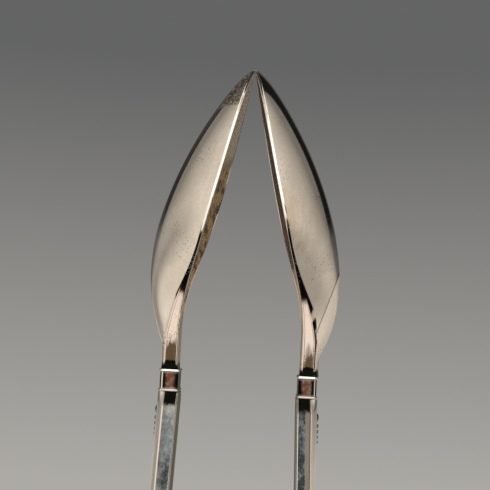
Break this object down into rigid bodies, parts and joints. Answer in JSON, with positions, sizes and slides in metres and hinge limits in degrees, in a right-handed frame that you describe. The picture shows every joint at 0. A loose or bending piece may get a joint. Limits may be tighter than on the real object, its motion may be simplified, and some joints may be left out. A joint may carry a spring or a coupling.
{
  "type": "ice tongs",
  "caption": "Bow-type silver ice tongs with two deep facing spoon jaws on straight bevelled arms that spring open.",
  "frame": {"origin": "middle of the small flat outer face of the bow's crown", "axes": "+Z from the bow up to the jaw tips, X across the opening from the left arm to the right arm, Y along the spoons' width"},
  "size_m": [0.0396, 0.025, 0.17],
  "materials": {
    "polished_silver": "hand-polished sterling silver, bright and slightly worn",
    "worn_silver": "silver dulled by handling, with mottled tarnish",
    "oxidised_silver": "silver ornament darkened in its recesses",
    "spring_silver": "hard-rolled silver, polished"
  },
  "bodies": {
    "bow": {"bow": "spring_silver"},
    "left_arm": {"left_spoon": "polished_silver", "left_collar": "polished_silver", "left_arm": "worn_silver", "left_leaf": "oxidised_silver", "left_bead_1": "oxidised_silver", "left_bead_2": "oxidised_silver", "left_bead_3": "oxidised_silver", "left_bead_4": "oxidised_silver", "left_upper_rivet": "spring_silver", "left_lower_rivet": "spring_silver"},
    "right_arm": {"right_spoon": "polished_silver", "right_collar": "polished_silver", "right_arm": "worn_silver", "right_leaf": "oxidised_silver", "right_bead_1": "oxidised_silver", "right_bead_2": "oxidised_silver", "right_bead_3": "oxidised_silver", "right_bead_4": "oxidised_silver", "right_upper_rivet": "spring_silver", "right_lower_rivet": "spring_silver"}
  },
  "joints": [
    {"name": "left_flex", "type": "hinge", "parent": "bow", "child": "left_arm", "pos_m": [-0.0121, 0, 0.0109], "axis": [0, -1, 0], "range_deg": [0, 8], "stiffness_Nm_per_rad": 3.1, "springref_deg": 4.5, "deforming": ["bow"]},
    {"name": "right_flex", "type": "hinge", "parent": "bow", "child": "right_arm", "pos_m": [0.0121, 0, 0.0109], "axis": [0, 1, 0], "range_deg": [0, 8], "stiffness_Nm_per_rad": 3.1, "springref_deg": 4.5, "deforming": ["bow"]}
  ]
}
